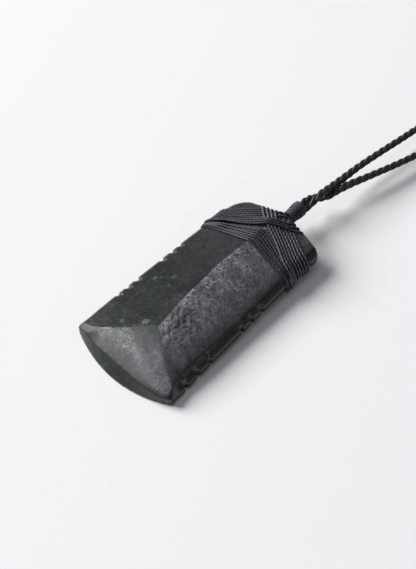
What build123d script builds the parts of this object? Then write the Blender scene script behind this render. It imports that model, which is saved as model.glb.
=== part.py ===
"""Adze-shaped stone pendant on a twisted neck cord, lying on a flat surface.

Millimetres. +Y runs from the cutting edge to the butt and on along the cord, +Z is up, and the
surface is z = 0. The origin is below the middle of the pendant: stone, lashing and bail.
"""

import os
from math import asin, atan, cos, degrees, hypot, pi, radians, tan

from build123d import *

# Stone blade. Heights are above its flat back, and places along it are from its corner line,
# the straight line between the two corners of the cutting edge.
stone_length = 60.0  # crest of the cutting edge to crest of the butt
edge_width = 30.6  # across the corners of the cutting edge
butt_width = 26.2  # across the butt
edge_bulge = 3.9  # the cutting edge curves this far out of the corner line
butt_bulge = 1.2
edge_corner_radius = 1.3
butt_left_radius = 4.5  # the left corner of the butt is worn rounder than the right one
butt_right_radius = 2.0
ridge_height = 8.0
ridge_radius = 1.6
side_height = 4.3  # where a top facet would meet the side wall
side_height_at_edge = 3.1
shoulder_radius = 1.8
back_edge_radius = 0.7
butt_round = 0.9  # how far the butt's rim is rounded back

# Front bevel: a wide crowned facet, and a steep roll-over below it down to the cutting edge
bevel_apex = 10.2  # where the ridge ends, from the corner line
bevel_slope = 0.24
bevel_crown_radius = 40.0
edge_thickness = 0.5
rollover_slope = 1.75

# Side notches, in two groups of three on each side: the groove's place from the corner line
notch_depth = 0.75
notch_width = 1.5
notches_left = [33.9, 30.8, 27.4, 18.9, 15.6, 12.2]
notches_right = [33.2, 29.4, 25.8, 14.2, 9.9, 5.7]

# Lashing of one waxed thread: a straight band and two crossing diagonals, in a seat on each side
lash_clearance = 0.06
lash_layer = 0.85  # one layer of thread, bedded down
band_from = 42.9
band_width = 5.6
diagonal_rise = 8.6  # how much of each side a diagonal covers, from the band's front
diagonal_middle = 48.3  # where a diagonal's front edge crosses the middle line
diagonal_far = 7.5  # and where it crosses the butt, past the middle
diagonal_near = 5.6  # and its back edge, before the middle
seat_depth = 1.2
seat_from = 42.5
seat_to = 52.0
seat_corner = 0.8

# Bail: the two cords, one above the other, in a whipping that stands on the lashing
bail_reach = 8.0  # from the butt's crest
bail_width = 2.9
bail_height = 4.7
bail_x = 1.2
bail_z = 5.9
bail_gap = 0.1
cord_gap = 0.15  # from the whipping or the fastening to a cord's end face

# Neck cord: two strands from the bail, joined by one plain fastening at the far end of the loop
cord_diameter = 1.9
fastening_length = 44.0
fastening_width = 5.0
fastening_height = 3.2
fastening_edge = 1.1
fastening_x = 13.1
fastening_from = 168.0

corner_to_butt = stone_length - edge_bulge
stone_tilt = degrees(asin((lash_clearance + 2 * lash_layer) / (band_from + edge_bulge)))
pendant_length = stone_length * cos(radians(stone_tilt)) + bail_reach
exit_y = pendant_length / 2
fastening_z = fastening_height / 2

# Routes of the two strands in the finished frame, from the bail to the fastening
left_route = [
    (1.6, exit_y + cord_gap, 6.95),
    (2.5, 40.0, 7.0),
    (2.7, 46.5, 6.6),
    (2.2, 54.5, 5.2),
    (2.6, 64.5, 3.85),
    (3.6, 78.0, 2.4),
    (3.5, 95.0, 1.2),
    (0.6, 116.0, 1.0),
    (-5.2, 139.0, 1.0),
    (-10.6, 163.0, 1.0),
    (-13.5, 187.0, 1.0),
    (-14.2, 208.0, 1.0),
    (-13.0, 224.5, 1.0),
    (-7.9, 233.6, 1.0),
    (0.8, 236.3, 1.0),
    (9.4, 233.2, 1.0),
    (13.9, 222.8, 1.1),
    (fastening_x, fastening_from + fastening_length + cord_gap, fastening_z),
]
right_route = [
    (0.8, exit_y + cord_gap, 4.85),
    (1.5, 38.6, 4.95),
    (3.5, 45.2, 4.9),
    (5.6, 53.3, 4.3),
    (8.0, 63.4, 3.0),
    (10.7, 76.5, 1.9),
    (12.7, 92.0, 1.1),
    (13.5, 111.0, 1.0),
    (13.1, 132.0, 1.0),
    (13.9, 151.0, 1.0),
    (fastening_x, fastening_from - cord_gap, fastening_z),
]


def half_width(along):
    """Half the blade's width at a place along it, by its straight tapering sides."""
    share = along / (corner_to_butt - butt_bulge)
    return (edge_width + (butt_width - edge_width) * share) / 2


def outline(grow):
    """The blade's plan outline, or the same line moved out by grow."""
    butt_line = corner_to_butt - butt_bulge
    left_edge, right_edge = (-edge_width / 2, 0), (edge_width / 2, 0)
    left_butt, right_butt = (-butt_width / 2, butt_line), (butt_width / 2, butt_line)
    sides = [
        Line(left_edge, left_butt),
        ThreePointArc(left_butt, (0, corner_to_butt), right_butt),
        Line(right_butt, right_edge),
        ThreePointArc(right_edge, (0, -edge_bulge), left_edge),
    ]
    face = make_face(sides)
    corners = [
        (left_edge, edge_corner_radius),
        (right_edge, edge_corner_radius),
        (left_butt, butt_left_radius),
        (right_butt, butt_right_radius),
    ]
    for (x, y), radius in corners:
        nearest = face.vertices().sort_by_distance((x, y, 0))[0]
        face = fillet(nearest, radius)
    return offset(face, amount=grow, kind=Kind.ARC) if grow else face


def cross_section(along, wall, lower, grow):
    """The blade's section across: flat back, side walls, rounded shoulders and a rounded ridge.

    wall is the height at which a facet meets the side wall, and lower takes the whole section in
    at the top and the bottom.
    """
    half = half_width(along) + grow
    top, bottom = ridge_height + grow - lower, lower - grow
    shoulder = wall + grow - lower
    points = [(-half, bottom), (half, bottom), (half, shoulder), (0, top), (-half, shoulder)]
    radii = [back_edge_radius, back_edge_radius, shoulder_radius, ridge_radius, shoulder_radius]
    face = make_face(Polyline(*points, close=True))
    for (x, y), radius in zip(points, radii):
        nearest = face.vertices().sort_by_distance((x, y, 0))[0]
        face = fillet(nearest, radius + grow)
    return Plane(origin=(0, along, 0), x_dir=(1, 0, 0), z_dir=(0, -1, 0)) * face


def blade(grow=0.0):
    """The stone without its notches, or the same form with every face moved out by grow."""
    reach = 2.0 + grow  # the loft runs past both ends, and the outline cuts it
    rim = corner_to_butt - butt_bulge - butt_round
    sections = [
        cross_section(-edge_bulge - reach, side_height_at_edge, 0, grow),
        cross_section(bevel_apex, side_height, 0, grow),
        cross_section(rim + grow, side_height, 0, grow),
        cross_section(corner_to_butt + grow, side_height, butt_round, grow),
    ]
    body = loft(sections, ruled=True)
    tall = ridge_height + 2 * reach
    body &= Pos(0, 0, -reach) * extrude(outline(grow), tall)
    body &= bevel_form(grow)
    return body & rollover_form(grow)


def bevel_form(grow):
    """A tilted cylinder, whose top line runs down from the end of the ridge."""
    tilt = degrees(atan(bevel_slope))
    long = 4 * stone_length
    form = Rot(-90, 0, 0) * Cylinder(bevel_crown_radius + grow, long)
    drop = bevel_crown_radius
    return Pos(0, bevel_apex, ridge_height) * Rot(tilt, 0, 0) * Pos(0, 0, -drop) * form


def rollover_form(grow):
    """A cone about an upright axis, through the cutting edge and leaning in above it."""
    edge_radius = (edge_width**2 / 4 + edge_bulge**2) / (2 * edge_bulge)
    tall = ridge_height + edge_thickness
    foot = edge_radius + grow * hypot(1, 1 / rollover_slope) + edge_thickness / rollover_slope
    low, high = foot + grow / rollover_slope, foot - (tall + grow) / rollover_slope
    cone = Cone(low, high, tall + 2 * grow, align=(Align.CENTER, Align.CENTER, Align.MIN))
    far = 2 * stone_length
    behind = Pos(0, far, 0) * Box(2 * far, 2 * far, 2 * far)
    return (Pos(0, edge_radius - edge_bulge, -grow) * cone) + behind


def seats(grow):
    """The two shallow flat-bottomed hollows in the sides that hold the lashing."""
    middle = (seat_from + seat_to) / 2
    deep = edge_width / 2
    tool = Box(deep, seat_to - seat_from - 2 * grow, 4 * ridge_height)
    tool = fillet(tool.edges().filter_by(Axis.Z), max(seat_corner - grow, seat_corner / 8))
    off = half_width(middle) - seat_depth + grow + deep / 2
    return [Pos(side * off, middle, 0) * tool for side in (-1, 1)]


def notch(side, along):
    """A V-groove across one side wall."""
    wall = half_width(along)
    outer = wall + notch_depth
    points = [
        (side * (wall - notch_depth), along),
        (side * outer, along - notch_width),
        (side * outer, along + notch_width),
    ]
    tall = 3 * ridge_height
    return Pos(0, 0, -ridge_height) * extrude(make_face(Polyline(*points, close=True)), tall)


def stone():
    body = blade()
    for cut in seats(0):
        body -= cut
    for side, places in ((-1, notches_left), (1, notches_right)):
        for along in places:
            body -= notch(side, along)
    return body


def footprint(points):
    tall = 4 * ridge_height
    face = make_face(Polyline(*points, close=True))
    return Pos(0, 0, -tall / 2) * extrude(face, tall, dir=(0, 0, 1))


def diagonal(side):
    """Where the threads run from the given side up over the butt: seen from above, a wide strip."""
    wall = half_width(band_from)
    outside = edge_width
    beyond = corner_to_butt + butt_width / 3
    front_slope = (diagonal_middle - band_from) / wall
    back_high = corner_to_butt - butt_bulge
    back_low = band_from + diagonal_rise
    back_slope = (back_high - back_low) / (wall - diagonal_near)
    strip = [
        (outside, band_from - front_slope * (outside - wall)),
        (0, diagonal_middle),
        (-diagonal_far, corner_to_butt),
        (-diagonal_far, beyond),
        (diagonal_near, beyond),
        (diagonal_near, back_high),
        (outside, back_low - back_slope * (outside - wall)),
    ]
    return footprint([(side * x, y) for x, y in strip])


def lashing():
    """The wound thread's outer form: one layer where one course of thread runs, two on a crossing."""
    band_to = band_from + band_width
    band = footprint(
        [(-edge_width, band_from), (edge_width, band_from), (edge_width, band_to), (-edge_width, band_to)]
    )
    left, right = diagonal(-1), diagonal(1)
    shells = []
    for layers in (0, 1, 2):
        grow = lash_clearance + layers * lash_layer
        shell = blade(grow)
        for cut in seats(grow):
            shell -= cut
        shells.append(shell)
    inner, first, second = shells
    single = first & (band + left + right)
    double = second & ((band & left) + (band & right) + (left & right))
    return single + double - inner


def lay_down(body):
    """From the blade's own frame to the finished one: the lashing's back props up the butt."""
    return Pos(0, -exit_y, 0) * Rot(stone_tilt, 0, 0) * Pos(0, edge_bulge, 0) * body


def bail_whipping():
    """The whipped collar round both cords, hollowed to the lashing that it stands on."""
    start = exit_y - bail_reach - butt_round - 2 * lash_layer
    profile = Plane(origin=(bail_x, exit_y, bail_z), x_dir=(1, 0, 0), z_dir=(0, -1, 0))
    collar = extrude(profile * Ellipse(bail_width / 2, bail_height / 2), exit_y - start)
    return collar - lay_down(blade(lash_clearance + 2 * lash_layer + bail_gap))


def neck_cord(route):
    """A tube along the route's straight runs, joined by arcs as large as the runs allow."""
    points = [Vector(*p) for p in route]
    runs = [b - a for a, b in zip(points, points[1:])]
    radii = []
    for before, after in zip(runs, runs[1:]):
        half_turn = radians(before.get_angle(after)) / 2
        radii.append(0.45 * min(before.length, after.length) / tan(half_turn))
    path = FilletPolyline(*points, radius=radii)
    section = Plane(origin=points[0], z_dir=runs[0]) * Circle(cord_diameter / 2)
    tube = sweep(section, path=path)
    expected = pi * cord_diameter**2 / 4 * path.length
    print("cord length", round(path.length, 1), "radii", [round(r, 1) for r in radii])
    print("  runs", [round(r.length, 1) for r in runs], "volume ratio", round(tube.volume / expected, 4))
    return tube


def neck_fastening():
    """The plain sleeve in which both strands end."""
    bar = Box(fastening_width, fastening_length, fastening_height)
    bar = fillet(bar.edges().filter_by(Axis.Y), fastening_edge)
    return Pos(fastening_x, fastening_from + fastening_length / 2, fastening_z) * bar


parts = {
    "toki_blade": lay_down(stone()),
    "lashing": lay_down(lashing()),
    "bail_whipping": bail_whipping(),
    "neck_cord_left": neck_cord(left_route),
    "neck_cord_right": neck_cord(right_route),
    "neck_fastening": neck_fastening(),
}

os.makedirs("parts", exist_ok=True)
for name, solid in parts.items():
    export_step(solid, f"parts/{name}.step")
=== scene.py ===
"""Adze-shaped stone pendant: lashed butt, whipped bail and a twisted neck cord, lying on a pale floor.

Shapes are worked out in millimetres. The stone and its lashing are worked out in the blade's own
frame, x across, y along from the corner line of the cutting edge and z above the flat back, and are
then laid down as the solids are. Every piece is written in metres, in the shared frame.
"""

import math

import bpy
import numpy as np
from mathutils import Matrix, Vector


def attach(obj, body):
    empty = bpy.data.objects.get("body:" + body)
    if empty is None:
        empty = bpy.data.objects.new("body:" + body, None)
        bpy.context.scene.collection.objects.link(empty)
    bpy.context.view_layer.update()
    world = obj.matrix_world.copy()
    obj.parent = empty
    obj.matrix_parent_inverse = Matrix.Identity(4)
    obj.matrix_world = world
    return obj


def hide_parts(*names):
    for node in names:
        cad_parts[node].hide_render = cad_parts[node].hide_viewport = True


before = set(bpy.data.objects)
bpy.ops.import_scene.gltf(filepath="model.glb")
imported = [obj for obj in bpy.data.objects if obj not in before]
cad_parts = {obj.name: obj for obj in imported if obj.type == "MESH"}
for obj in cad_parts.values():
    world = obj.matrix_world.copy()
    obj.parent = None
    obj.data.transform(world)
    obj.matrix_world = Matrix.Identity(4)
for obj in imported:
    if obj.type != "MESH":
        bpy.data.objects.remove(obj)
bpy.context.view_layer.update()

MM = 0.001

# Stone, in the blade's own frame
STONE_LENGTH = 60.0
EDGE_WIDTH = 30.6
BUTT_WIDTH = 26.2
EDGE_BULGE = 3.9
EDGE_LEAN = 0.8  # the fullest point of the cutting edge lies this far to the right
BUTT_BULGE = 1.2
EDGE_CORNER_RADIUS = 0.5
BUTT_LEFT_RADIUS = 4.7
BUTT_RIGHT_RADIUS = 1.0
RIDGE_HEIGHT = 8.0
BEVEL_APEX = 10.2
# Height of the two sides along the blade
SIDE_HEIGHTS_LEFT = [(-EDGE_BULGE, 3.1), (BEVEL_APEX, 4.3)]
SIDE_HEIGHTS_RIGHT = [(-EDGE_BULGE, 1.6), (BEVEL_APEX, 3.0), (30.0, 3.3), (44.0, 3.35), (54.0, 3.6)]
SHOULDER_RADII = {-1: 1.5, 1: 0.8}  # on the left and on the right
SHOULDER_AT_EDGE = 0.5
RIGHT_CHAMFER = 1.5  # how far below the side's height the chamfer on the right starts
CHAMFER_NORMAL = 0.82, 0.572
BACK_EDGE_RADIUS = 0.6
CUTTING_EDGE_RADIUS = 0.2
BUTT_RIM_RADII = {-1: 2.3, 1: 0.7}
PIT_DEPTH = 0.3  # where the ground surface is pitted
SKIN_STEP = 0.26  # how fine the stone's mesh is
BEVEL_TOP = 7.806
BEVEL_SLOPE = 0.2436
BEVEL_CROWN = 0.0107  # per mm, as a parabola across
BEVEL_CENTRE = -0.72
EDGE_THICKNESS = 0.5
ROLLOVER_HEIGHT = 5.0
# How much of the cutting edge's bulge is gone at the roll-over's top, across the blade
ROLLOVER_DRAWN_IN = [(-15.3, 1.0), (-7.0, 1.05), (0.0, 1.05), (3.0, 1.0), (8.0, 0.78), (13.0, 0.3)]
CORNER_TO_BUTT = STONE_LENGTH - EDGE_BULGE
BUTT_LINE = CORNER_TO_BUTT - BUTT_BULGE

# The hand-ground ridge wanders: place along the blade, and how far it lies to the right
RIDGE_PATH = [
    (9.0, 1.5),
    (14.0, 1.4),
    (16.5, 0.75),
    (22.0, 0.37),
    (28.0, 0.1),
    (34.0, -0.4),
    (39.0, 0.1),
    (42.6, 0.5),
    (56.0, 0.5),
]

NOTCH_DEPTHS = {-1: 1.35, 1: 0.9}  # on the left and on the right
NOTCH_WIDTHS = {-1: 0.85, 1: 0.65}
NOTCHES_LEFT = [33.1, 30.4, 27.0, 18.65, 15.5, 12.4]
NOTCHES_RIGHT = [33.2, 29.4, 25.8, 14.2, 9.9, 5.7]
# Where the lashing is let into each side: place along the blade and depth
SEATS = {
    -1: [(40.7, 0.0), (41.3, 0.65), (42.4, 0.6), (43.2, 0.1), (44.0, 0.0)],
    1: [(42.2, 0.0), (43.0, 0.5), (46.0, 0.35), (48.5, 0.1), (51.2, 0.0)],
}
BUTT_SEAT_REACH, BUTT_SEAT_DEPTH = 7.2, 0.55

# Lashing thread, pulled flat
THREAD_HALF_WIDTH = 0.345
THREAD_HALF_HEIGHT = 0.33
THREAD_BED = 0.27  # how far its centre stands from what it lies on

# The lashing under the stone lifts its butt by two layers and a gap
LAYER_HEIGHT, LAYER_GAP = 0.85, 0.06
LASH_LAYERS = 2 * LAYER_HEIGHT + LAYER_GAP
LASHING_FROM = 42.9  # along the blade

# Where the finished frame's solids lie
BAIL_REACH = 8.0
STONE_TILT = math.asin(LASH_LAYERS / (LASHING_FROM + EDGE_BULGE))
EXIT_Y = (STONE_LENGTH * math.cos(STONE_TILT) + BAIL_REACH) / 2

# Neck cord
CORD_GAP = 0.15
FASTENING_X, FASTENING_FROM, FASTENING_LENGTH = 13.1, 168.0, 44.0
FASTENING_WIDTH, FASTENING_HEIGHT = 5.0, 3.2

# Each cord starts inside the bail; past it the left one crosses over the right one
LEFT_ROUTE = [
    (1.5, 31.4, 5.5),
    (1.75, 33.4, 5.5),
    (1.95, 35.0, 5.9),
    (2.25, 36.7, 7.0),
    (2.15, 39.0, 7.1),
    (2.1, 41.5, 6.5),
    (2.15, 45.2, 5.9),
    (2.23, 49.1, 5.7),
    (2.38, 54.3, 5.4),
    (2.95, 61.2, 5.0),
    (3.8, 70.5, 4.3),
    (4.3, 80.0, 3.2),
    (3.6, 95.0, 1.8),
    (0.6, 116.0, 1.0),
    (-5.2, 139.0, 1.0),
    (-10.6, 163.0, 1.0),
    (-13.5, 187.0, 1.0),
    (-14.2, 208.0, 1.0),
    (-13.0, 224.5, 1.0),
    (-7.9, 233.6, 1.0),
    (0.8, 236.3, 1.0),
    (9.4, 233.2, 1.0),
    (13.9, 222.8, 1.1),
    (FASTENING_X, FASTENING_FROM + FASTENING_LENGTH + CORD_GAP, FASTENING_HEIGHT / 2),
]
RIGHT_ROUTE = [
    (0.5, 31.4, 6.3),
    (0.4, 33.6, 6.4),
    (0.35, 35.8, 6.0),
    (0.45, 38.1, 4.9),
    (1.75, 39.2, 4.6),
    (3.1, 41.1, 5.1),
    (3.5, 43.5, 5.4),
    (4.5, 47.6, 5.3),
    (5.9, 52.5, 4.9),
    (7.7, 59.6, 4.2),
    (9.5, 67.2, 3.5),
    (11.3, 78.0, 2.3),
    (12.8, 92.0, 1.2),
    (13.5, 111.0, 1.0),
    (13.1, 132.0, 1.0),
    (13.9, 151.0, 1.0),
    (FASTENING_X, FASTENING_FROM - CORD_GAP, FASTENING_HEIGHT / 2),
]


def lay_down(points):
    """From the blade's own frame to the shared one, both in millimetres."""
    x, y, z = np.asarray(points, float).T
    y = y + EDGE_BULGE
    cosine, sine = math.cos(STONE_TILT), math.sin(STONE_TILT)
    return np.stack([x, y * cosine - z * sine - EXIT_Y, y * sine + z * cosine], 1)


def pick_up(points):
    """From the shared frame to the blade's own one."""
    x, y, z = np.asarray(points, float).T
    y = y + EXIT_Y
    cosine, sine = math.cos(STONE_TILT), math.sin(STONE_TILT)
    return np.stack([x, y * cosine + z * sine - EDGE_BULGE, z * cosine - y * sine], 1)


# Meshes from arrays

FIRST_SIDEWAYS = 0.3, 0.5, 0.8  # any direction that no line starts along


def mesh_object(name, points_mm, faces):
    mesh = bpy.data.meshes.new(name)
    mesh.from_pydata((np.asarray(points_mm) * MM).tolist(), [], faces)
    mesh.update()
    mesh.shade_smooth()
    piece = bpy.data.objects.new(name, mesh)
    bpy.context.scene.collection.objects.link(piece)
    return piece


def add_attribute(piece, name, values):
    attribute = piece.data.attributes.new(name, "FLOAT", "POINT")
    attribute.data.foreach_set("value", np.asarray(values, np.float32))


def resample(points, step):
    """The same open line with points an even step apart."""
    points = np.asarray(points, float)
    along = np.concatenate([[0], np.cumsum(np.linalg.norm(np.diff(points, axis=0), axis=1))])
    count = max(int(round(along[-1] / step)), 8)
    places = np.linspace(0, along[-1], count + 1)
    return np.stack([np.interp(places, along, points[:, k]) for k in range(3)], 1)


def frames_along(points):
    """Two normals at each point of an open line, turned as little as possible from point to point."""
    tangents = np.gradient(points, axis=0)
    tangents /= np.linalg.norm(tangents, axis=1)[:, None]
    start = np.cross(tangents[0], FIRST_SIDEWAYS)
    normals = [start / np.linalg.norm(start)]
    for tangent in tangents[1:]:
        normal = normals[-1] - tangent * np.dot(normals[-1], tangent)
        normals.append(normal / np.linalg.norm(normal))
    normals = np.array(normals)
    return normals, np.cross(tangents, normals)


def frames_facing(points, ups, closed=False):
    """Two normals at each point of a line, the first as near as it can be to its up."""
    if closed:
        tangents = np.roll(points, -1, 0) - np.roll(points, 1, 0)
    else:
        tangents = np.gradient(points, axis=0)
    tangents /= np.linalg.norm(tangents, axis=1)[:, None]
    normals = ups - tangents * (ups * tangents).sum(1)[:, None]
    normals /= np.linalg.norm(normals, axis=1)[:, None]
    return normals, np.cross(tangents, normals)


def strand(
    points, radius, closed=False, sides=12, lobes=3, depth=0.1, lay=2.4, swell=1.0, ups=None, flat=1.0
):
    """A tube along points, with lobes that wind round it once in each lay: points, faces, values."""
    count = len(points)
    normals, binormals = frames_along(points) if ups is None else frames_facing(points, ups, closed)
    step = np.linalg.norm(points[1] - points[0])
    turns = np.arange(count) * step / lay
    if closed:
        turns = round(count * step / lay * lobes) / lobes * np.arange(count) / count
    around = np.linspace(0, 2 * math.pi, sides, endpoint=False)
    wave = np.cos(lobes * (around[None, :] - 2 * math.pi * turns[:, None]))
    reach = radius * np.broadcast_to(swell, count)[:, None] * (1 + depth * (wave - 1))
    ring = (
        flat * np.cos(around)[None, :, None] * normals[:, None, :]
        + np.sin(around)[None, :, None] * binormals[:, None, :]
    )
    vertices = (points[:, None, :] + reach[..., None] * ring).reshape(-1, 3)
    rows = np.arange(count if closed else count - 1)[:, None] * sides
    columns = np.arange(sides)[None, :]
    beside = (columns + 1) % sides
    after = (rows + sides) % (count * sides)
    faces = np.stack([rows + columns, rows + beside, after + beside, after + columns], -1)
    faces = faces.reshape(-1, 4).tolist()
    if not closed:
        last = (count - 1) * sides
        faces += [list(range(sides))[::-1], list(range(last, last + sides))]
    # how far each point faces away from what the thread lies on; the material darkens the sides from it as
    # painted shade
    outside = np.ones(sides) if ups is None else np.cos(around)
    return vertices, faces, (wave.reshape(-1), np.tile(outside, count))


def joined(name, strands):
    """One piece from several strands, with how high each point lies on its lobe and how far outside."""
    vertices, faces, lobe, outside = [], [], [], []
    start = 0
    for points, quads, values in strands:
        vertices.append(points)
        faces += [[corner + start for corner in quad] for quad in quads]
        lobe.append(values[0])
        outside.append(values[1])
        start += len(points)
    piece = mesh_object(name, np.vstack(vertices), faces)
    add_attribute(piece, "lobe", np.concatenate(lobe))
    add_attribute(piece, "outside", np.concatenate(outside))
    return piece


# Stone


def half_width(y):
    return (EDGE_WIDTH + (BUTT_WIDTH - EDGE_WIDTH) * y / BUTT_LINE) / 2


def round_max(a, b, radius):
    """The larger of two distances, with the corner between them rounded."""
    inside = np.minimum(np.maximum(a, b), -radius)
    return inside + np.hypot(np.maximum(a + radius, 0), np.maximum(b + radius, 0))


def smooth_step(low, high, value):
    share = np.clip((value - low) / (high - low), 0, 1)
    return share * share * (3 - 2 * share)


def side_cut(x, y):
    """How far the notches and the lashing's seats cut into each side."""
    cut = np.zeros(len(x))
    for side, places in ((-1, NOTCHES_LEFT), (1, NOTCHES_RIGHT)):
        here = np.interp(y, *zip(*SEATS[side]))
        for number, place in enumerate(places):
            width = NOTCH_WIDTHS[side] * (1 + 0.12 * math.sin(5 * number + side))
            off = np.abs(y - place) / width
            here = here + NOTCH_DEPTHS[side] * np.maximum(1 - np.sqrt(off * off + 0.01), 0)
        cut = np.where(x * side > 0, here, cut)
    return cut


def ridge_x(y):
    places, offsets = zip(*RIDGE_PATH)
    return sum(np.interp(y + shift, places, offsets) for shift in (-3, -1.5, 0, 1.5, 3)) / 5


def top_heights(x, y):
    """How high the two long facets are, how steep they are, and how high the bevel is."""
    off = x - ridge_x(y)
    left, right = (np.interp(y, *zip(*heights)) for heights in (SIDE_HEIGHTS_LEFT, SIDE_HEIGHTS_RIGHT))
    slope = (RIDGE_HEIGHT - np.where(off < 0, left, right)) / half_width(y)
    soft = np.interp(y, (BEVEL_APEX, 24, 42), (1.6, 0.55, 0.25))
    facets = RIDGE_HEIGHT - slope * (np.hypot(off, soft) - 0.6 * soft)
    bevel = BEVEL_TOP - BEVEL_SLOPE * (BEVEL_APEX - y) - BEVEL_CROWN * (x - BEVEL_CENTRE) ** 2
    return facets, slope, bevel


def edge_distances(x, y, z):
    """How far points lie outside the cutting edge's outline and outside the roll-over."""
    edge_x = x - EDGE_LEAN * (1 - (x / (EDGE_WIDTH / 2)) ** 2)
    bulge = EDGE_BULGE * (1 - (edge_x / (EDGE_WIDTH / 2)) ** 2)
    places, shares = zip(*ROLLOVER_DRAWN_IN)
    drawn_in = sum(np.interp(x + shift, places, shares) for shift in (-4, -2, 0, 2, 4)) / 5
    drawn_in = drawn_in * np.maximum(bulge, 0)
    risen = np.maximum(z - EDGE_THICKNESS, 0) / (ROLLOVER_HEIGHT - EDGE_THICKNESS)
    edge = -y - bulge - 0.12
    return edge, (edge + drawn_in * risen) / np.hypot(1, drawn_in / ROLLOVER_HEIGHT)


def stone_distance(points):
    """Distance outside the stone's surface, for points in the blade's own frame."""
    x, y, z = points.T
    facets, slope, bevel = top_heights(x, y)
    crease = np.interp(np.abs(x - 0.5), (1, 5, 12), (0.9, 0.16, 0.06))
    top = round_max((z - facets) / np.hypot(1, slope), (z - bevel) / math.hypot(1, BEVEL_SLOPE), crease)
    edge, rollover = edge_distances(x, y, z)
    sides = np.abs(x) - half_width(y) + side_cut(x, y)
    sides = sides - 0.12 * smooth_step(9, 6, y) - 0.45 * smooth_step(47, 52, y) * smooth_step(0, 3, x)
    ends = round_max(sides, edge, EDGE_CORNER_RADIUS)
    butt = y - (CORNER_TO_BUTT - BUTT_BULGE * (x / (BUTT_WIDTH / 2)) ** 2)
    butt = butt + BUTT_SEAT_DEPTH * smooth_step(0, 0.9, BUTT_SEAT_REACH - np.abs(x - 1.0))
    rightness = smooth_step(-3, 3, x)
    body = round_max(ends, butt, BUTT_LEFT_RADIUS + (BUTT_RIGHT_RADIUS - BUTT_LEFT_RADIUS) * rightness)
    rim = BUTT_RIM_RADII[-1] + (BUTT_RIM_RADII[1] - BUTT_RIM_RADII[-1]) * rightness
    shoulder = SHOULDER_RADII[-1] + (SHOULDER_RADII[1] - SHOULDER_RADII[-1]) * rightness
    shoulder = rim + (shoulder - rim) * smooth_step(BUTT_LINE - 2, BUTT_LINE - 8, y)
    shoulder = SHOULDER_AT_EDGE + (shoulder - SHOULDER_AT_EDGE) * smooth_step(-3, 5, y)
    body = round_max(body, top, shoulder)
    wall_top = np.interp(y, *zip(*SIDE_HEIGHTS_RIGHT)) - RIGHT_CHAMFER + 3 * smooth_step(4, -2, y)
    chamfer = CHAMFER_NORMAL[0] * sides + CHAMFER_NORMAL[1] * (z - wall_top) - 6 * smooth_step(4, -2, x)
    body = round_max(body, chamfer, 0.3)
    soft = 2.6 * smooth_step(2, 4.5, z) * smooth_step(-13, -8, x)
    body = round_max(body, rollover, 0.3 + soft)
    back = CUTTING_EDGE_RADIUS + (BACK_EDGE_RADIUS - CUTTING_EDGE_RADIUS) * smooth_step(-1, 2, y)
    return round_max(body, -z, back)


def waves(points, seed, sizes_mm):
    """A gentle uneven field from a few crossing sine waves, between about -1 and 1."""
    rng = np.random.default_rng(seed)
    total = np.zeros(len(points))
    for size in sizes_mm:
        for _ in range(3):
            direction = rng.normal(size=3)
            direction /= np.linalg.norm(direction)
            total += np.sin(points @ direction * 2 * math.pi / size + rng.uniform(0, 6.28))
    return total / (3 * len(sizes_mm)) * 1.6


def stone_gradient(points):
    small = 0.02
    parts = []
    for axis in np.eye(3) * small:
        parts.append((stone_distance(points + axis) - stone_distance(points - axis)) / (2 * small))
    return np.stack(parts, 1)


def make_stone():
    """The blade: a fine even skin over the solid, drawn onto the stone's worked-out surface."""
    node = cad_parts["toki_blade"]
    start = bpy.data.objects.new("blade_start", node.data.copy())
    bpy.context.scene.collection.objects.link(start)
    remesh = start.modifiers.new("even_skin", "REMESH")
    remesh.mode = "VOXEL"
    remesh.voxel_size = SKIN_STEP * MM
    bpy.context.view_layer.update()
    skin = bpy.data.meshes.new_from_object(start.evaluated_get(bpy.context.evaluated_depsgraph_get()))
    points = np.zeros(len(skin.vertices) * 3)
    skin.vertices.foreach_get("co", points)
    points = pick_up(points.reshape(-1, 3) / MM)
    for _ in range(8):
        gradient = stone_gradient(points)
        slope = np.maximum((gradient**2).sum(1), 0.3)
        move = -gradient * (stone_distance(points) / slope)[:, None]
        length = np.linalg.norm(move, axis=1)
        move *= np.minimum(1, 0.4 / np.maximum(length, 1e-9))[:, None]
        points += move
    gradient = stone_gradient(points)
    gradient /= np.linalg.norm(gradient, axis=1)[:, None]
    hand_ground = 0.035 * waves(points, 3, (11, 7, 4.5)) + 0.012 * waves(points, 5, (2.1, 1.4))
    above_back = smooth_step(0.2, 1.2, points[:, 2])
    pits = PIT_DEPTH * rugged_share(points) * np.minimum(waves(points, 17, (2.3, 1.6, 1.1)), 0.15)
    points += gradient * (hand_ground * above_back + pits)[:, None]
    skin.vertices.foreach_set("co", (lay_down(points) * MM).reshape(-1))
    skin.update()
    skin.shade_smooth()
    bpy.data.objects.remove(start)
    blade = bpy.data.objects.new("adze_blade", skin)
    bpy.context.scene.collection.objects.link(blade)
    add_attribute(blade, "worn", worn_share(points))
    add_attribute(blade, "rugged", rugged_share(points))
    add_attribute(blade, "bloom_and_sheen", bloom_and_sheen_share(points))
    add_attribute(blade, "green", green_share(points))
    add_attribute(blade, "smooth_wall_and_shade", smooth_wall_and_shade_share(points))
    add_attribute(blade, "matt", matt_share(points))
    add_attribute(blade, "fleck", fleck_share(points))
    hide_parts("toki_blade")
    return blade


def facet_share(points):
    """Where the surface is one of the two long facets, from 0 to 1."""
    facets, _, bevel = top_heights(points[:, 0], points[:, 1])
    return smooth_step(0.12, -0.02, facets - bevel)


def bevel_share(points):
    """Where the surface is the bevel, from 0 to 1, with a soft end at the roll-over."""
    _, rollover = edge_distances(*points.T)
    return (1 - facet_share(points)) * smooth_step(-0.15, -1.7, rollover)


def matt_share(points):
    """Where the surface is ground matt: the bevel, up to the roll-over."""
    _, rollover = edge_distances(*points.T)
    return (1 - facet_share(points)) * smooth_step(0.3, -0.5, rollover)


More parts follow.
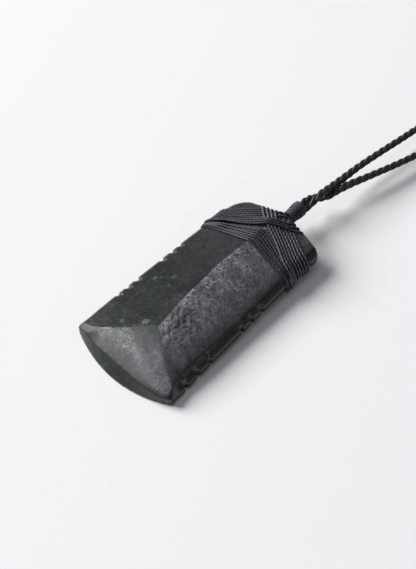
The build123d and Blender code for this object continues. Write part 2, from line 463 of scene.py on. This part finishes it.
def worn_share(points):
    """Where coarse scratches show pale: right of the ridge and in the middle of the bevel."""
    x, y, _ = points.T
    off = x - ridge_x(y)
    right = smooth_step(-0.25, 0.35, off)
    beside_ridge = np.exp(-((np.maximum(off - 1.0, 0) / 2.2) ** 2)) * smooth_step(8, 15, y)
    beside_ridge *= 0.75 + 0.25 * smooth_step(40, 28, y)
    broad = 0.45 * smooth_step(11.5, 3, off) * smooth_step(6, 20, y)
    low = 0.8 * np.exp(-(((off - 3.0) / 3.6) ** 2 + ((y - 15) / 5.5) ** 2))
    left = 0.14 * np.exp(-(((off + 1.2) / 1.8) ** 2 + ((y - 17) / 6.0) ** 2))
    facets = np.maximum(right * np.maximum(np.maximum(beside_ridge, broad), low), left)
    bevel = 0.6 * np.exp(-(((x + 4.5) / 7.5) ** 2 + ((y - 2.6) / 3.6) ** 2))
    return np.clip(facets * facet_share(points) + bevel * bevel_share(points), 0, 1)


def rugged_share(points):
    """Where the ground surface is pitted: beside the ridge, and most of all behind the bevel."""
    x, y, _ = points.T
    off = x - ridge_x(y)
    beside_ridge = 0.55 * np.exp(-(((off - 0.8) / 1.8) ** 2)) * smooth_step(9, 16, y)
    behind_bevel = np.exp(-(((off - 3.2) / 3.8) ** 2 + ((y - 15.5) / 7.0) ** 2))
    facets = smooth_step(-0.3, 0.4, off) * np.maximum(beside_ridge, behind_bevel)
    return np.clip(facets * facet_share(points), 0, 1)


def bloom_and_sheen_share(points):
    """Where the stone is painted paler: an even bloom from the grinding with painted sheen, on the bevel
    and a little right of the ridge, and painted shade where it is held back.
    """
    x, y, _ = points.T
    off = x - ridge_x(y)
    # bloom with painted sheen on the right facet, paler towards the butt and beside the ridge
    right = smooth_step(-0.2, 0.3, off) * smooth_step(16, 5, off) * (0.62 + 0.28 * smooth_step(4, 34, y))
    right += smooth_step(-0.1, 0.3, off) * 0.3 * np.exp(-(((off - 1.2) / 2.6) ** 2)) * smooth_step(6, 14, y)
    # painted sheen: the left facet a little paler towards the butt
    left = smooth_step(0.2, -0.2, off) * (0.05 + 0.09 * smooth_step(24, 40, y))
    from_left_crease = (BEVEL_APEX - y) - (1.5 - x) * 0.62
    # bloom with painted sheen on the bevel
    bevel = 0.22 + 0.28 * smooth_step(9, 3, y) * smooth_step(-13, 2, x)
    # painted sheen on the lower right of the bevel
    bevel += 0.6 * smooth_step(0, 7, x) * smooth_step(7, 1, y)
    # painted shade: the bevel darker along the left crease
    bevel *= 0.2 + 0.8 * smooth_step(0, 3.6, from_left_crease)
    # painted highlight along the bevel's right crease
    from_crease = 1.5 + (BEVEL_APEX - y) * 1.09 - x
    bevel += 0.6 * np.exp(-(((from_crease - 1.2) / 2.2) ** 2)) * smooth_step(8.5, 4.5, y)
    from_side = half_width(y) - x
    # painted shade: no pale bloom in the last mm or two before the right rim
    right *= smooth_step(0.8, 2.0, from_side)
    return np.clip((right + left) * facet_share(points) + bevel * bevel_share(points), 0, 1)


def smooth_wall_and_shade_share(points):
    """Where the surface is the smooth wall of the right side, with the chamfer above it; there the colour
    is painted shade.
    """
    x, y, z = points.T
    return smooth_step(1.6, 1.0, half_width(y) - x) * smooth_step(4.4, 3.6, z)


def green_share(points):
    """Where the stone shows green: the left facet towards the edge, the roll-over and the rims."""
    x, y, z = points.T
    left = smooth_step(1.0, -3.5, x) * smooth_step(36, 20, y) * (1 - 0.8 * bevel_share(points))
    rollover = smooth_step(0.2, -1.6, y)
    walls = 0.25 * smooth_step(4.2, 2.5, z) * smooth_step(4, -4, x)
    return np.clip(np.maximum(np.maximum(left, rollover), walls), 0, 1)


# Pale green flecks: place across, along and height in the blade's own frame, size and strength
FLECKS = [
    (-1.9, 9.6, 7.1, 0.8, 1.0),
    (-1.4, 10.3, 7.2, 0.5, 0.9),
    (-10.2, 21.1, 5.5, 0.9, 0.6),
    (-9.2, 22.2, 5.8, 0.6, 0.5),
    (-6.4, 24.0, 6.4, 0.9, 0.55),
    (-5.5, 21.3, 6.5, 0.7, 0.5),
    (-6.9, 6.6, 6.0, 0.8, 0.6),
    (3.9, 0.2, 5.8, 0.9, 0.7),
    (2.8, -2.4, 4.0, 0.8, 0.6),
    (6.2, 34.0, 6.4, 0.9, 0.6),
    (7.5, 32.7, 6.1, 0.7, 0.55),
    (11.9, 29.5, 5.0, 0.7, 0.7),
    (15.2, 2.4, 1.5, 0.9, 0.8),
    (15.1, 1.2, 1.7, 0.8, 0.7),
    (-10.9, 1.8, 4.8, 0.7, 0.4),
    (-12.6, -0.6, 3.0, 0.8, 0.35),
]


def fleck_share(points):
    share = np.zeros(len(points))
    for x, y, z, size, strength in FLECKS:
        distance = np.linalg.norm(points - (x, y, z), axis=1)
        share = np.maximum(share, strength * (1.5 - distance / size))
    return np.clip(share, 0, 1)


# Lashing


WRAP_X = 11.2  # the wraps round the sides and the butt turn about lines this far out
WRAP_Y = 53.6
WRAP_Z = 2.2
LEFT, RIGHT, BUTT = (-1, 0), (1, 0), (0, 1)
FOLLOWS = {LEFT: 0.9, RIGHT: 0.35, BUTT: 0.5}  # how far a turn keeps its heading over the edge


def between(low, high, share, count=40):
    """A line part of the way from one boundary to the other, each a few points on the top."""
    lines = []
    for boundary in (low, high):
        boundary = np.array(boundary, float)
        along = np.concatenate([[0], np.cumsum(np.linalg.norm(np.diff(boundary, axis=0), axis=1))])
        places = np.linspace(0, along[-1], count)
        lines.append(np.stack([np.interp(places, along, boundary[:, k]) for k in (0, 1)], 1))
    line = lines[0] * (1 - share) + lines[1] * share
    for _ in range(6):
        line[1:-1] = (line[:-2] + 2 * line[1:-1] + line[2:]) / 4
    return line


def wrap(point, heading, edge, count=22):
    """Rays that fan over an edge from straight up to straight down, leaning along the thread's heading."""
    heading = heading / np.linalg.norm(heading)
    across = np.array(edge) * (1 - FOLLOWS[edge]) + heading * FOLLOWS[edge]
    across /= np.linalg.norm(across)
    angles = np.linspace(0, math.pi, count)[:, None]
    rays = np.hstack([across * np.sin(angles), np.cos(angles)])
    return np.tile((*point, WRAP_Z), (count, 1)), rays


def loop_rays(top, start_out, end_out):
    """The rays of a whole turn: over the top, round one edge, along the back and round the other."""
    round_end = wrap(top[-1], top[-1] - top[-4], end_out)
    round_start = [part[::-1] for part in wrap(top[0], top[0] - top[3], start_out)]
    over = np.hstack([top, np.full((len(top), 1), WRAP_Z)]), np.tile((0.0, 0.0, 1.0), (len(top), 1))
    back = np.linspace(round_end[0][-1], round_start[0][0], len(top))
    under = back, np.tile((0.0, 0.0, -1.0), (len(top), 1))
    parts = [over, round_end, under, round_start]
    return np.vstack([p[0] for p in parts]), np.vstack([p[1] for p in parts])


def cast(origins, rays, lift):
    """Where each ray comes out of the stone, lift above its surface."""
    low, high = np.zeros(len(origins)), np.full(len(origins), 14.0)
    for _ in range(26):
        middle = (low + high) / 2
        outside = stone_distance(origins + rays * middle[:, None]) > lift
        low, high = np.where(outside, low, middle), np.where(outside, middle, high)
    return (low + high) / 2


def smooth_closed(values, width):
    """Values round a closed line, averaged over a few neighbours."""
    reach = np.arange(-3 * width, 3 * width + 1)
    weights = np.exp(-0.5 * (reach / width) ** 2)
    weights /= weights.sum()
    return sum(w * np.roll(values, int(r), axis=0) for r, w in zip(reach, weights))


def even_rays(origins, rays, step):
    """The same turn with its rays an even step apart where they come out of the stone."""
    hits = origins + rays * cast(origins, rays, THREAD_BED)[:, None]
    loop = np.vstack([hits, hits[:1]])
    along = np.concatenate([[0], np.cumsum(np.linalg.norm(np.diff(loop, axis=0), axis=1))])
    places = np.linspace(0, along[-1], int(round(along[-1] / step)), endpoint=False)

    def spaced(values):
        closed = np.vstack([values, values[:1]])
        return np.stack([np.interp(places, along, closed[:, k]) for k in range(3)], 1)

    origins, rays = spaced(origins), spaced(rays)
    rays /= np.linalg.norm(rays, axis=1)[:, None]
    return smooth_closed(origins, 2), smooth_closed(rays, 3)


def lay_thread(origins, rays, placed, rng, step=0.24):
    """One turn of taut thread on the stone, lifted over the turns that are already placed."""
    origins, rays = even_rays(origins, rays, step)
    rays /= np.linalg.norm(rays, axis=1)[:, None]
    base = origins + rays * (cast(origins, rays, THREAD_BED) - pressed_in(origins, rays))[:, None]
    need = np.zeros(len(base))
    if placed:
        others = np.vstack(placed)
        wide, tall = 2 * THREAD_HALF_WIDTH - 0.12, 2 * THREAD_BED
        for start in range(0, len(base), 64):
            part = slice(start, start + 64)
            apart = others[None, :, :] - base[part, None, :]
            height = (apart * rays[part, None, :]).sum(-1)
            beside = ((apart**2).sum(-1) - height**2) / wide**2
            over = height + tall * np.sqrt(np.maximum(1 - beside, 0))
            over = np.where((beside < 0.8) & (height > -2 * tall), over, 0)
            need[part] = np.maximum(over.max(1), 0)
    most = most_lift(base, rays)
    need = np.minimum(need, most)
    lift = need
    for _ in range(TAUTNESS):
        lift = np.minimum(np.maximum(need, smooth_closed(lift, 2)), most)
    lift = smooth_closed(lift, 2)
    points = base + rays * lift[:, None]
    sway = smooth_closed(rng.normal(size=(len(points), 3)), 5) * 0.05
    points = smooth_closed(points, 1) + sway
    placed.append(points)
    return points, rays


# How far a turn may be lifted over others; taut turns press into each other beyond that
LIFT_EDGES = {LEFT: 0.5, RIGHT: 0.4, BUTT: 0.0}
LIFT_BACK = 0.95
LIFT_TOP = 1.3
TAUTNESS = 50
BUTT_PRESS = 0.22


def pressed_in(points, rays):
    """How far a turn is pressed into the stone where it goes over the rim of the butt."""
    over_rim = smooth_step(0.05, 0.35, rays[:, 1]) * smooth_step(-0.5, 0.0, rays[:, 2])
    return BUTT_PRESS * over_rim * smooth_step(WRAP_Y - 2, WRAP_Y, points[:, 1])


def most_lift(points, rays):
    across, along, up = rays.T
    total = across**2 + along**2 + 1e-6
    left, right = np.minimum(across, 0) ** 2 / total, np.maximum(across, 0) ** 2 / total
    edge = LIFT_EDGES[LEFT] * left + LIFT_EDGES[RIGHT] * right + LIFT_EDGES[BUTT] * along**2 / total
    top = LIFT_TOP + (0.5 - LIFT_TOP) * smooth_step(-7, -11.5, points[:, 0])
    top = top + (0.3 - top) * smooth_step(51.5, 54.2, points[:, 1])
    upper, lower = smooth_step(0.3, 0.9, up), smooth_step(-0.2, -0.8, up)
    return edge * (1 - upper) * (1 - lower) + top * upper + LIFT_BACK * lower


# The lines that bound each course on the top of the stone: across and along
LEFT_X = 12.4
BAND_LOW = [
    (-LEFT_X, 41.5),
    (-8.7, 42.1),
    (-5.5, 42.6),
    (-1.6, 42.9),
    (1.2, 43.4),
    (3.2, 43.1),
    (9.4, 42.7),
    (WRAP_X, 42.6),
]
BAND_HIGH = [(-LEFT_X, 42.3), (-8.8, 44.1), (-3.2, 46.5), (0, 48.0), (2.5, 48.4), (8, 46.3), (WRAP_X, 45.3)]
RISING_LOW = [
    (-LEFT_X, 43.6),
    (-8.8, 45.6),
    (-3.2, 47.9),
    (-0.5, 49.15),
    (1.9, 50.9),
    (4.55, 52.6),
    (6.4, WRAP_Y),
]
RISING_BELOW_GAP = [
    (-LEFT_X, 43.8),
    (-11.1, 45.3),
    (-7.4, 47.65),
    (-3.2, 49.4),
    (-0.5, 50.6),
    (1.9, 52.3),
    (3.8, WRAP_Y),
]
RISING_ABOVE_GAP = [(-LEFT_X, 44.6), (-11.1, 46.2), (-7.4, 48.6), (-3.2, 50.4), (1.2, WRAP_Y)]
RISING_HIGH = [(-LEFT_X, 48.5), (-10.9, 49.5), (-7.8, 51.5), (-5.0, 53.2), (-4.4, WRAP_Y)]
FALLING_LOW = [
    (-4.3, WRAP_Y),
    (-2.5, 52.1),
    (-0.2, 50.2),
    (1.5, 49.6),
    (5.6, 47.75),
    (10.2, 45.1),
    (WRAP_X, 44.7),
]
FALLING_HIGH = [(5.4, WRAP_Y), (6.4, 53.15), (9.7, 51.6), (WRAP_X, 50.85)]
COURSES = {
    "band": (BAND_LOW, BAND_HIGH, LEFT, RIGHT),
    "rising": (RISING_LOW, RISING_BELOW_GAP, LEFT, BUTT),
    "rising_high": (RISING_ABOVE_GAP, RISING_HIGH, LEFT, BUTT),
    "falling": (FALLING_LOW, FALLING_HIGH, BUTT, RIGHT),
}
# The order in which the turns are laid: course, and how far each turn lies from its low to its high line
TURNS = [
    ("band", (0.0, 0.34, 0.67, 1.0)),
    ("band", (0.15, 0.5, 0.84)),
    ("rising_high", (1.0, 0.75, 0.5)),
    ("falling", (1.0, 0.86, 0.71, 0.57)),
    ("rising_high", (0.25, 0.0)),
    ("falling", (0.43, 0.28, 0.14, 0.0)),
    ("rising", (1.0, 0.5, 0.0)),
]


def make_lashing():
    """Three courses of one thread: a band, and two diagonals that cross over the butt."""
    rng = np.random.default_rng(11)
    placed = []
    courses = {"lashing_band": [], "lashing_rising": [], "lashing_falling": []}
    for course, shares in TURNS:
        low, high, start_out, end_out = COURSES[course]
        for share in shares:
            top = between(low, high, share)
            turn = lay_thread(*loop_rays(top, start_out, end_out), placed, rng)
            courses["lashing_" + course.split("_")[0]].append(turn)
    pieces = []
    for name, turns in courses.items():
        strands = []
        for points, rays in turns:
            line = lay_down(points)
            ups = lay_down(points + rays) - line
            line[:, 2] = np.maximum(line[:, 2], THREAD_HALF_HEIGHT + 0.03)
            swell = 1 + 0.15 * smooth_closed(rng.normal(size=len(line)), 4)
            strands.append(
                strand(
                    line,
                    THREAD_HALF_WIDTH,
                    closed=True,
                    lobes=2,
                    depth=0.1,
                    lay=2.2,
                    swell=swell,
                    ups=ups,
                    flat=THREAD_HALF_HEIGHT / THREAD_HALF_WIDTH,
                )
            )
        piece = joined(name, strands)
        pieces.append(piece)
    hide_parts("lashing")
    return pieces


# Bail


BAIL_MIDDLE = 0.8, 5.9  # across and height
BAIL_FROM, BAIL_TO = 27.7, 32.6
BAIL_TURNS = 7
BAIL_HALF_WIDTH, BAIL_HALF_HEIGHT = 1.5, 1.65
WHIPPING_RADIUS = 0.42


def make_bail():
    """The whipping round both cords: close turns of thread on an oval, fullest towards its far end.

    Its first turn stands about 1.5 mm clear of the lashing.
    """
    share = np.linspace(0, 1, BAIL_TURNS * 40)
    angle = 2 * math.pi * BAIL_TURNS * share
    full = 0.96 + 0.16 * smooth_step(0.25, 0.65, share) - 0.14 * smooth_step(0.85, 1.0, share)
    line = np.stack(
        [
            BAIL_MIDDLE[0] + BAIL_HALF_WIDTH * full * np.cos(angle),
            BAIL_FROM + (BAIL_TO - BAIL_FROM) * share,
            BAIL_MIDDLE[1] + BAIL_HALF_HEIGHT * full * np.sin(angle),
        ],
        1,
    )
    line = resample(line, 0.2)
    ups = (line - (BAIL_MIDDLE[0], 0, BAIL_MIDDLE[1])) * (1, 0, 1)
    piece = joined("bail_turns", [strand(line, WHIPPING_RADIUS, depth=0.09, lay=2.0, ups=ups)])
    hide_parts("bail_whipping")
    return piece


# Neck cord


def smooth_line(name, route):
    """The points that a smooth curve through the route's runs follows, in millimetres."""
    data = bpy.data.curves.new(name + "_line", "CURVE")
    data.dimensions = "3D"
    data.resolution_u = 24
    spline = data.splines.new("NURBS")
    spline.points.add(len(route) - 1)
    for point, place in zip(spline.points, route):
        point.co = (*(value * MM for value in place), 1)
    spline.use_endpoint_u = True
    spline.order_u = 3
    line = bpy.data.objects.new(name + "_line", data)
    bpy.context.scene.collection.objects.link(line)
    bpy.context.view_layer.update()
    mesh = bpy.data.meshes.new_from_object(line)
    points = np.array([vertex.co for vertex in mesh.vertices]) / MM
    bpy.data.objects.remove(line)
    bpy.data.meshes.remove(mesh)
    return points


PLY_RADIUS = 0.54
PLY_OFFSET = 0.42
PLIES = 3
LEFT_LAY, RIGHT_LAY = 7.2, 6.8  # how far each cord runs while its plies turn once


def make_cord(name, node, route, lay):
    """A cord of twisted plies, each wound of finer yarn, along its route."""
    line = resample(smooth_line(name, route), 0.3)
    normals, binormals = frames_along(line)
    along = np.arange(len(line)) * np.linalg.norm(line[1] - line[0])
    strands = []
    loosened = 1 + 0.14 * np.exp(-(((line[:, 1] - 45) / 7) ** 2))
    for ply in range(PLIES):
        angle = 2 * math.pi * (ply / PLIES - along / lay)
        centre = line + (PLY_OFFSET * loosened)[:, None] * (
            np.cos(angle)[:, None] * normals + np.sin(angle)[:, None] * binormals
        )
        strands.append(strand(centre, PLY_RADIUS, depth=0.05, lay=2.9, swell=loosened))
    piece = joined(name, strands)
    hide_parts(node)
    return piece


def make_fastening():
    """The sleeve at the far end of the loop: close turns of thread round both cord ends."""
    pitch = 0.8
    radius = WHIPPING_RADIUS
    turns = int((FASTENING_LENGTH - 2 * radius) / pitch)
    share = np.linspace(0, 1, turns * 28)
    angle = 2 * math.pi * turns * share
    wide, tall = FASTENING_WIDTH / 2 - radius, FASTENING_HEIGHT / 2 - radius
    squareness = 0.7
    across = np.sign(np.cos(angle)) * np.abs(np.cos(angle)) ** squareness
    up = np.sign(np.sin(angle)) * np.abs(np.sin(angle)) ** squareness
    line = np.stack(
        [
            FASTENING_X + wide * across,
            FASTENING_FROM + radius + (FASTENING_LENGTH - 2 * radius) * share,
            FASTENING_HEIGHT / 2 + tall * up,
        ],
        1,
    )
    piece = joined("fastening_turns", [strand(resample(line, 0.5), radius, sides=8, depth=0.05)])
    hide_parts("neck_fastening")
    return piece


# Materials


class Nodes:
    """A short way to write a material's nodes."""

    def __init__(self, name):
        self.material = bpy.data.materials.new(name)
        self.material.use_nodes = True
        self.tree = self.material.node_tree
        self.shader = self.tree.nodes["Principled BSDF"]

    def add(self, kind, **settings):
        node = self.tree.nodes.new(kind)
        for key, value in settings.items():
            setattr(node, key, value)
        return node

    def link(self, source, target):
        self.tree.links.new(source, target)

    def value(self, source, target):
        if hasattr(source, "is_linked"):
            self.link(source, target)
        else:
            target.default_value = source

    def math(self, operation, first, second=0.0, third=0.5):
        node = self.add("ShaderNodeMath", operation=operation, use_clamp=False)
        self.value(first, node.inputs[0])
        self.value(second, node.inputs[1])
        node.inputs[2].default_value = third
        return node.outputs[0]

    def attribute(self, name):
        return self.add("ShaderNodeAttribute", attribute_name=name).outputs["Fac"]

    def place(self, stretch=(1, 1, 1), turn=(0, 0, 0)):
        mapping = self.add("ShaderNodeMapping")
        mapping.inputs["Scale"].default_value = stretch
        mapping.inputs["Rotation"].default_value = turn
        self.link(self.add("ShaderNodeTexCoord").outputs["Object"], mapping.inputs["Vector"])
        return mapping.outputs["Vector"]

    def noise(self, scale, detail=4.0, rough=0.55, at=None, warp=0.0):
        node = self.add("ShaderNodeTexNoise")
        node.inputs["Scale"].default_value = scale
        node.inputs["Detail"].default_value = detail
        node.inputs["Roughness"].default_value = rough
        node.inputs["Distortion"].default_value = warp
        self.link(at or self.place(), node.inputs["Vector"])
        return node.outputs["Fac"]

    def ramp(self, source, low, high):
        node = self.add("ShaderNodeMapRange", interpolation_type="SMOOTHSTEP")
        self.value(source, node.inputs["Value"])
        node.inputs["From Min"].default_value = low
        node.inputs["From Max"].default_value = high
        return node.outputs["Result"]

    def mix(self, share, first, second):
        node = self.add("ShaderNodeMix", data_type="RGBA")
        self.value(share, node.inputs["Factor"])
        for colour, target in ((first, node.inputs[6]), (second, node.inputs[7])):
            self.value(colour if hasattr(colour, "is_linked") else (*colour, 1.0), target)
        return node.outputs[2]

    def bump(self, height, distance, strength=1.0, under=None):
        node = self.add("ShaderNodeBump")
        self.value(strength, node.inputs["Strength"])
        node.inputs["Distance"].default_value = distance
        self.link(height, node.inputs["Height"])
        if under is not None:
            self.link(under, node.inputs["Normal"])
        return node.outputs["Normal"]


# pale bloom of fine scratches, with painted sheen
BLOOM_AND_SHEEN_COLOUR = (0.20, 0.205, 0.222)
# painted shade for the threads' grooves and sides
PAINTED_GROOVE_SHADE = (0.0015, 0.0015, 0.002)


def stone_material():
    """Dark nephrite: near-black green, cloudy, with pale flecks, a bloom of fine scratches with painted
    sheen, and painted shade on the right wall.
    """
    n = Nodes("dark_nephrite")
    shader = n.shader.inputs
    clouds = n.noise(300, 5, 0.6, warp=0.6)
    grain = n.noise(2300, 3, 0.65, warp=1.2)
    strokes = n.math(
        "MAXIMUM",
        n.noise(560, 3, 0.65, at=n.place((1, 3.6, 1), (0, 0, 0.95)), warp=0.5),
        n.noise(560, 3, 0.65, at=n.place((1, 3.6, 1), (0, 0, -0.5)), warp=0.5),
    )
    clumps = n.ramp(n.noise(340, 3, 0.6, warp=0.8), 0.40, 0.62)
    specks = n.ramp(n.noise(1500, 2, 0.6, warp=1.5), 0.52, 0.66)
    pits = n.ramp(n.noise(700, 3, 0.6, warp=1.0), 0.44, 0.36)
    worn = n.attribute("worn")
    rugged = n.attribute("rugged")
    bloom_and_sheen = n.attribute("bloom_and_sheen")
    green = n.attribute("green")
    smooth_wall_and_shade = n.attribute("smooth_wall_and_shade")
    colour = n.mix(n.ramp(clouds, 0.3, 0.7), (0.007, 0.0075, 0.008), (0.013, 0.014, 0.0145))
    colour = n.mix(n.math("MULTIPLY", green, n.ramp(clouds, 0.36, 0.66)), colour, (0.0105, 0.0165, 0.011))
    patches = n.math("MULTIPLY", green, n.ramp(n.noise(620, 4, 0.65, warp=1.0), 0.5, 0.72))
    colour = n.mix(patches, colour, (0.024, 0.036, 0.026))
    haze = n.math("MULTIPLY", n.ramp(grain, 0.28, 0.72), n.math("MULTIPLY_ADD", clumps, 0.6, 0.7))
    evened = n.math("MULTIPLY", n.math("SUBTRACT", 0.47, haze), n.attribute("matt"))
    haze = n.math("ADD", haze, n.math("MULTIPLY", evened, 0.35))
    # paler where the bloom mask lies: bloom with painted sheen, and painted shade where it is held back
    colour = n.mix(n.math("MULTIPLY", bloom_and_sheen, haze), colour, BLOOM_AND_SHEEN_COLOUR)
    marks = n.math("MULTIPLY", n.ramp(strokes, 0.50, 0.68), n.ramp(grain, 0.34, 0.60))
    marks = n.math("MAXIMUM", n.math("MULTIPLY", marks, 0.55), specks)
    marks = n.math("MULTIPLY", marks, n.math("MULTIPLY_ADD", clumps, 0.95, 0.2))
    colour = n.mix(n.math("MULTIPLY", worn, marks), colour, (0.5, 0.505, 0.515))
    colour = n.mix(n.math("MULTIPLY", rugged, n.math("MULTIPLY", pits, 0.7)), colour, (0.006, 0.006, 0.007))
    fleck = n.math("ADD", n.attribute("fleck"), n.math("MULTIPLY", n.noise(1700, 3, warp=1.0), 1.3))
    colour = n.mix(n.math("MULTIPLY", n.ramp(fleck, 0.95, 1.45), 0.8), colour, (0.09, 0.13, 0.08))
    # painted shade: the right wall and chamfer darkened to near black
    colour = n.mix(n.math("MULTIPLY", smooth_wall_and_shade, 0.85), colour, (0.002, 0.002, 0.0025))
    n.link(colour, shader["Base Color"])
    rough = n.add("ShaderNodeMapRange")
    gloss = n.math("MULTIPLY_ADD", grain, 0.2, 0.02)
    matt = n.math("MAXIMUM", n.math("MAXIMUM", worn, bloom_and_sheen), n.attribute("matt"))
    gloss = n.math("ADD", gloss, n.math("MULTIPLY", matt, 1.4))
    gloss = n.math("SUBTRACT", gloss, smooth_wall_and_shade)
    n.link(gloss, rough.inputs["Value"])
    rough.inputs["To Min"].default_value = 0.2
    rough.inputs["To Max"].default_value = 0.55
    n.link(rough.outputs["Result"], shader["Roughness"])
    shader["IOR"].default_value = 1.55
    normal = n.bump(strokes, 0.00008, n.math("MULTIPLY_ADD", worn, 0.6, 0.08))
    normal = n.bump(n.math("SUBTRACT", specks, pits), 0.00018, rugged, normal)
    normal = n.bump(grain, 0.00005, n.math("MULTIPLY_ADD", smooth_wall_and_shade, -0.45, 0.5), normal)
    n.link(normal, shader["Normal"])
    return n.material


def thread_material(name, dark, pale, roughness):
    """Twisted waxed yarn with fine fibres: painted shade in its grooves and at its sides where turns meet,
    and its own paler tone with painted sheen on its crowns.
    """
    n = Nodes(name)
    shader = n.shader.inputs
    fibres = n.noise(3200, 3, 0.6)
    # painted shade: darker between the lobes and at the sides where turns lie against each other
    lobes = n.math("MULTIPLY_ADD", n.ramp(n.attribute("lobe"), -0.7, 1.0), 0.5, 0.5)
    lobes = n.math("MULTIPLY", lobes, n.ramp(n.attribute("outside"), 0.48, 1.0))
    crown = n.math("MULTIPLY", lobes, n.ramp(fibres, 0.25, 0.65))
    n.link(n.mix(crown, dark, pale), shader["Base Color"])
    shader["Roughness"].default_value = roughness
    shader["Sheen Weight"].default_value = 0.15
    shader["Sheen Roughness"].default_value = 0.4
    n.link(n.bump(fibres, 0.00006, 0.7), shader["Normal"])
    return n.material


def floor_material():
    n = Nodes("pale_floor")
    shader = n.shader.inputs
    paper = n.noise(900, 5, 0.6)
    n.link(n.mix(paper, (0.80, 0.80, 0.81), (0.82, 0.82, 0.83)), shader["Base Color"])
    shader["Roughness"].default_value = 0.85
    shader["Specular IOR Level"].default_value = 0.2
    return n.material


# Floor, lights and camera


FLOOR_HALF_WIDTH = 1.5  # metres


def make_floor():
    half = FLOOR_HALF_WIDTH
    mesh = bpy.data.meshes.new("floor")
    corners = [(-half, -half, 0), (half, -half, 0), (half, half, 0), (-half, half, 0)]
    mesh.from_pydata(corners, [], [(0, 1, 2, 3)])
    floor = bpy.data.objects.new("floor", mesh)
    bpy.context.scene.collection.objects.link(floor)
    floor.data.materials.append(floor_material())


def aim(thing, place, target):
    thing.location = place
    thing.rotation_euler = (Vector(target) - Vector(place)).to_track_quat("-Z", "Y").to_euler()


def soft_light(name, direction, distance, size, power):
    data = bpy.data.lights.new(name, "AREA")
    data.shape = "RECTANGLE"
    data.size, data.size_y = size
    data.energy = power
    light = bpy.data.objects.new(name, data)
    bpy.context.scene.collection.objects.link(light)
    aim(light, Vector(direction).normalized() * distance, (0, 0, 0))


def make_lights():
    soft_light("window", (-0.775, -0.28, 0.555), 2.8, (1.72, 1.55), 134.0)
    soft_light("overhead", (-0.10, 0.05, 1.0), 1.0, (0.4, 0.4), 0.5)
    world = bpy.data.worlds.new("studio")
    bpy.context.scene.world = world
    world.use_nodes = True
    background = world.node_tree.nodes["Background"]
    background.inputs["Color"].default_value = (0.93, 0.95, 1.0, 1)
    background.inputs["Strength"].default_value = 0.195


LOOK_AT = (-2.735 * MM, 1.753 * MM, 0.0)
VIEW_AZIMUTH = 42.9
VIEW_ELEVATION = 52.0
VIEW_DISTANCE = 329.9 * MM
LENS_MM = 84.46
SENSOR_MM = 36.0


def make_camera():
    data = bpy.data.cameras.new("camera")
    data.sensor_fit = "VERTICAL"
    data.sensor_height = SENSOR_MM
    data.lens = LENS_MM
    data.clip_start = 0.01
    camera = bpy.data.objects.new("camera", data)
    bpy.context.scene.collection.objects.link(camera)
    azimuth, elevation = math.radians(VIEW_AZIMUTH), math.radians(VIEW_ELEVATION)
    level = math.cos(elevation)
    forward = Vector((-math.sin(azimuth) * level, math.cos(azimuth) * level, -math.sin(elevation)))
    aim(camera, Vector(LOOK_AT) - forward * VIEW_DISTANCE, LOOK_AT)
    bpy.context.scene.camera = camera


blade = make_stone()
blade.data.materials.clear()
blade.data.materials.append(stone_material())
thread = thread_material("waxed_thread", PAINTED_GROOVE_SHADE, (0.058, 0.06, 0.08), 0.6)
# lit and shaded copies of one thread: the rising course painted darker, the falling course painted much
# lighter
shaded_thread_rising = thread_material("waxed_thread_shaded_rising", PAINTED_GROOVE_SHADE, (0.048, 0.05, 0.069), 0.68)
lit_thread_falling = thread_material("waxed_thread_lit_falling", PAINTED_GROOVE_SHADE, (0.18, 0.184, 0.228), 0.6)
yarn = thread_material("cord_yarn", (0.002, 0.002, 0.002), (0.009, 0.009, 0.0105), 0.55)
lashing = make_lashing()
bail = make_bail()
fastening = make_fastening()
left_cord = make_cord("neck_cord_left_plies", "neck_cord_left", LEFT_ROUTE, LEFT_LAY)
right_cord = make_cord("neck_cord_right_plies", "neck_cord_right", RIGHT_ROUTE, RIGHT_LAY)
for piece, material in zip((*lashing, bail), (thread, shaded_thread_rising, lit_thread_falling, thread)):
    piece.data.materials.append(material)
for piece in (left_cord, right_cord, fastening):
    piece.data.materials.append(yarn)
for piece in (blade, *lashing, bail, left_cord, right_cord, fastening):
    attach(piece, "root")
make_floor()
make_lights()
make_camera()
bpy.context.scene.view_settings.view_transform = "Standard"
